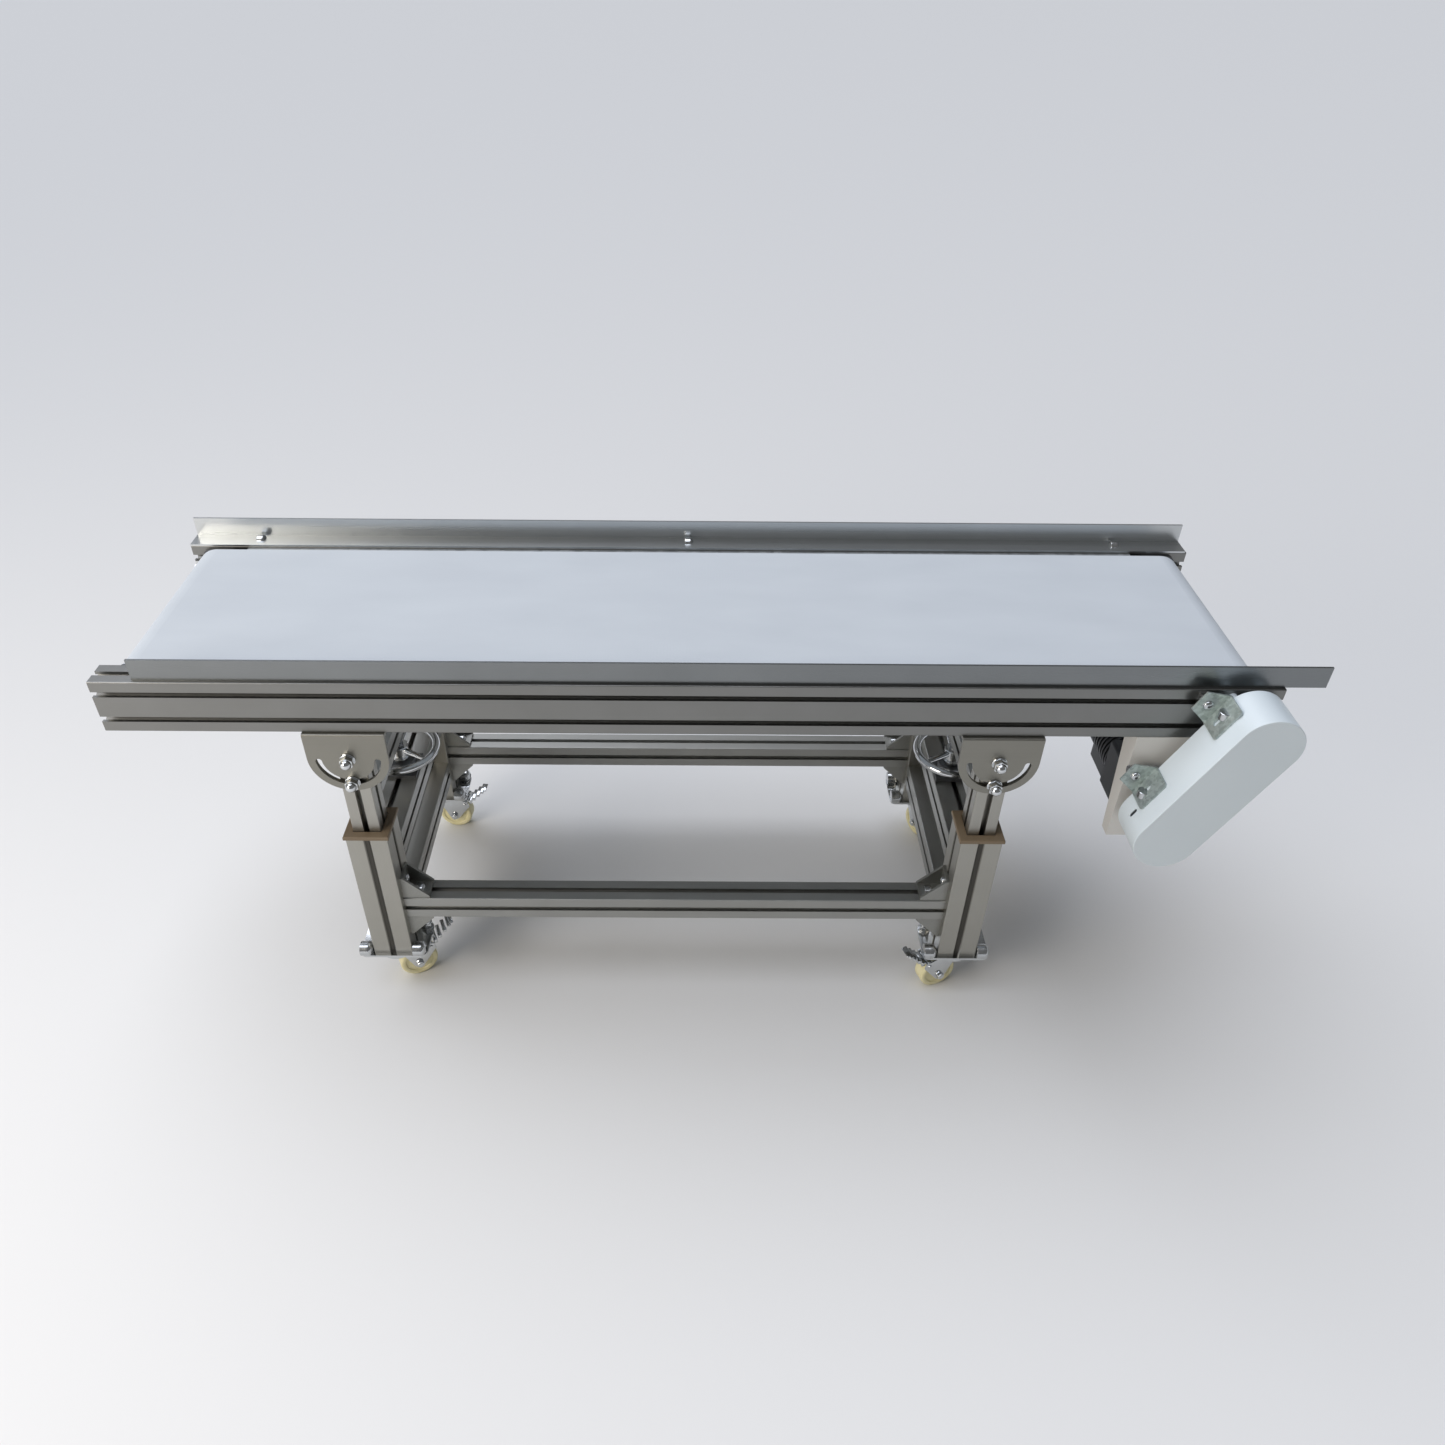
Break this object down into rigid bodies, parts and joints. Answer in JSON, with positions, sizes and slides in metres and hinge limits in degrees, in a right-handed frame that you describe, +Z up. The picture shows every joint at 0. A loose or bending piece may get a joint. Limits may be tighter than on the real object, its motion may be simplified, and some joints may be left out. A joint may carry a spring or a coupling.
{
  "type": "belt conveyor section",
  "caption": "Short flat-belt conveyor on a height-adjustable rolling stand, with slotted aluminium rails, side guards, a covered chain drive, lift handwheels and braked swivel casters.",
  "frame": {"origin": "middle of the footprint, at floor level", "axes": "+X along the belt towards the driven end, +Y across it away from the chain cover, +Z up"},
  "size_m": [1.603, 0.5044, 0.6304],
  "materials": {
    "rail_profile": "satin",
    "frame_profile": "satin",
    "post_tube": "satin",
    "guard_sheet": "satin",
    "belt": "matte",
    "slider_sheet": "satin",
    "tie_tube": "satin",
    "bearing_unit": "satin",
    "screw_steel": "polished",
    "roller_steel": "satin",
    "sprocket_steel": "satin",
    "cover_paint": "satin",
    "galvanised": "satin",
    "bracket_paint": "satin",
    "gearbox_black": "satin",
    "tilt_plate": "satin",
    "corner_casting": "satin",
    "brown_plastic": "satin",
    "shoe_plastic": "satin",
    "nut_bronze": "satin",
    "handwheel_chrome": "polished",
    "caster_steel": "polished",
    "caster_tread": "satin"
  },
  "bodies": {
    "base": {"outer_posts": "post_tube", "guide_caps": "brown_plastic", "front_long_beam": "frame_profile", "rear_long_beam": "frame_profile", "upper_cross_beams": "frame_profile", "lower_cross_beams": "frame_profile", "corner_brackets": "corner_casting", "frame_bolts": "screw_steel", "screw_bearings": "bearing_unit", "caster_plates": "caster_steel"},
    "left_lift": {"left_inner_posts": "frame_profile", "left_post_shoes": "shoe_plastic", "left_lift_beam": "frame_profile", "left_lift_nut": "nut_bronze", "left_pivot_bolts": "screw_steel"},
    "right_lift": {"right_inner_posts": "frame_profile", "right_post_shoes": "shoe_plastic", "right_lift_beam": "frame_profile", "right_lift_nut": "nut_bronze", "right_pivot_bolts": "screw_steel"},
    "left_screw": {"left_lead_screw": "roller_steel", "left_handwheel": "handwheel_chrome"},
    "right_screw": {"right_lead_screw": "roller_steel", "right_handwheel": "handwheel_chrome"},
    "bed": {"front_rail": "rail_profile", "rear_rail": "rail_profile", "front_guard": "guard_sheet", "rear_guard": "guard_sheet", "guard_bolts": "screw_steel", "conveyor_belt": "belt", "slider_bed": "slider_sheet", "cross_ties": "tie_tube", "roller_bearings": "bearing_unit", "tension_screws": "screw_steel", "tilt_brackets": "tilt_plate", "tilt_bracket_bolts": "screw_steel", "drive_chain": "sprocket_steel", "drive_cover": "cover_paint", "cover_backplate": "cover_paint", "cover_brackets": "galvanised", "cover_bolts": "screw_steel", "motor_bracket": "bracket_paint", "gearbox": "gearbox_black", "motor": "gearbox_black"},
    "drive_roller": {"drive_roller": "roller_steel", "drive_sprocket": "sprocket_steel"},
    "tail_roller": {"tail_roller": "roller_steel"},
    "motor_sprocket": {"motor_sprocket": "sprocket_steel"},
    "caster_fork_front_left": {"caster_fork_front_left": "caster_steel"},
    "caster_wheel_front_left": {"caster_wheel_front_left": "caster_tread"},
    "brake_pedal_front_left": {"brake_pedal_front_left": "caster_steel"},
    "caster_fork_front_right": {"caster_fork_front_right": "caster_steel"},
    "caster_wheel_front_right": {"caster_wheel_front_right": "caster_tread"},
    "brake_pedal_front_right": {"brake_pedal_front_right": "caster_steel"},
    "caster_fork_rear_left": {"caster_fork_rear_left": "caster_steel"},
    "caster_wheel_rear_left": {"caster_wheel_rear_left": "caster_tread"},
    "brake_pedal_rear_left": {"brake_pedal_rear_left": "caster_steel"},
    "caster_fork_rear_right": {"caster_fork_rear_right": "caster_steel"},
    "caster_wheel_rear_right": {"caster_wheel_rear_right": "caster_tread"},
    "brake_pedal_rear_right": {"brake_pedal_rear_right": "caster_steel"}
  },
  "joints": [
    {"name": "left_handwheel_turn", "type": "hinge", "parent": "base", "child": "left_screw", "pos_m": [-0.4865, 0.02779, 0.33], "axis": [0, 0, 1], "range_deg": [-4050, 1350]},
    {"name": "right_handwheel_turn", "type": "hinge", "parent": "base", "child": "right_screw", "pos_m": [0.3955, 0.02779, 0.33], "axis": [0, 0, 1], "range_deg": [-4050, 1350]},
    {"name": "bed_lift", "type": "slide", "parent": "base", "child": "left_lift", "axis": [0, 0, 1], "range_m": [-0.015, 0.045]},
    {"name": "bed_tilt", "type": "hinge", "parent": "left_lift", "child": "bed", "pos_m": [-0.4865, 0.02779, 0.477], "axis": [0, 1, 0], "range_deg": [-1.5, 1.5]},
    {"name": "right_post_pivot", "type": "hinge", "parent": "bed", "child": "right_lift", "pos_m": [0.3955, 0.02779, 0.477], "axis": [0, 1, 0], "range_deg": [-1.5, 1.5]},
    {"name": "drive_roller_turn", "type": "hinge", "parent": "bed", "child": "drive_roller", "pos_m": [0.7035, 0.02779, 0.5647], "axis": [0, 1, 0], "continuous": true},
    {"name": "tail_roller_turn", "type": "hinge", "parent": "bed", "child": "tail_roller", "pos_m": [-0.7565, 0.02779, 0.5647], "axis": [0, 1, 0], "continuous": true},
    {"name": "motor_sprocket_turn", "type": "hinge", "parent": "bed", "child": "motor_sprocket", "pos_m": [0.61808, -0.17221, 0.4006], "axis": [0, 1, 0], "continuous": true},
    {"name": "swivel_front_left", "type": "hinge", "parent": "base", "child": "caster_fork_front_left", "pos_m": [-0.4865, -0.15221, 0.072], "axis": [0, 0, 1], "continuous": true},
    {"name": "roll_front_left", "type": "hinge", "parent": "caster_fork_front_left", "child": "caster_wheel_front_left", "pos_m": [-0.46475, -0.14207, 0.03], "axis": [-0.4226, 0.9063, 0], "continuous": true},
    {"name": "brake_front_left", "type": "hinge", "parent": "caster_fork_front_left", "child": "brake_pedal_front_left", "pos_m": [-0.44481, -0.13277, 0.059], "axis": [-0.4226, 0.9063, 0], "range_deg": [0, 20]},
    {"name": "swivel_front_right", "type": "hinge", "parent": "base", "child": "caster_fork_front_right", "pos_m": [0.3955, -0.15221, 0.072], "axis": [0, 0, 1], "continuous": true},
    {"name": "roll_front_right", "type": "hinge", "parent": "caster_fork_front_right", "child": "caster_wheel_front_right", "pos_m": [0.37295, -0.16042, 0.03], "axis": [0.342, -0.9397, 0], "continuous": true},
    {"name": "brake_front_right", "type": "hinge", "parent": "caster_fork_front_right", "child": "brake_pedal_front_right", "pos_m": [0.35227, -0.16794, 0.059], "axis": [0.342, -0.9397, 0], "range_deg": [0, 20]},
    {"name": "swivel_rear_left", "type": "hinge", "parent": "base", "child": "caster_fork_rear_left", "pos_m": [-0.4865, 0.20779, 0.072], "axis": [0, 0, 1], "continuous": true},
    {"name": "roll_rear_left", "type": "hinge", "parent": "caster_fork_rear_left", "child": "caster_wheel_rear_left", "pos_m": [-0.46259, 0.2057, 0.03], "axis": [0.0872, 0.9962, 0], "continuous": true},
    {"name": "brake_rear_left", "type": "hinge", "parent": "caster_fork_rear_left", "child": "brake_pedal_rear_left", "pos_m": [-0.44067, 0.20378, 0.059], "axis": [0.0872, 0.9962, 0], "range_deg": [0, 20]},
    {"name": "swivel_rear_right", "type": "hinge", "parent": "base", "child": "caster_fork_rear_right", "pos_m": [0.3955, 0.20779, 0.072], "axis": [0, 0, 1], "continuous": true},
    {"name": "roll_rear_right", "type": "hinge", "parent": "caster_fork_rear_right", "child": "caster_wheel_rear_right", "pos_m": [0.4075, 0.18701, 0.03], "axis": [0.866, 0.5, 0], "continuous": true},
    {"name": "brake_rear_right", "type": "hinge", "parent": "caster_fork_rear_right", "child": "brake_pedal_rear_right", "pos_m": [0.4185, 0.16795, 0.059], "axis": [0.866, 0.5, 0], "range_deg": [0, 20]}
  ],
  "couplings": [
    {"joint": "left_handwheel_turn", "follows": "bed_lift", "rad_per_m": -1570.8},
    {"joint": "right_handwheel_turn", "follows": "bed_lift", "rad_per_m": -1570.8},
    {"joint": "right_post_pivot", "follows": "bed_tilt", "ratio": -1},
    {"joint": "tail_roller_turn", "follows": "drive_roller_turn", "ratio": 1},
    {"joint": "motor_sprocket_turn", "follows": "drive_roller_turn", "ratio": 1}
  ]
}
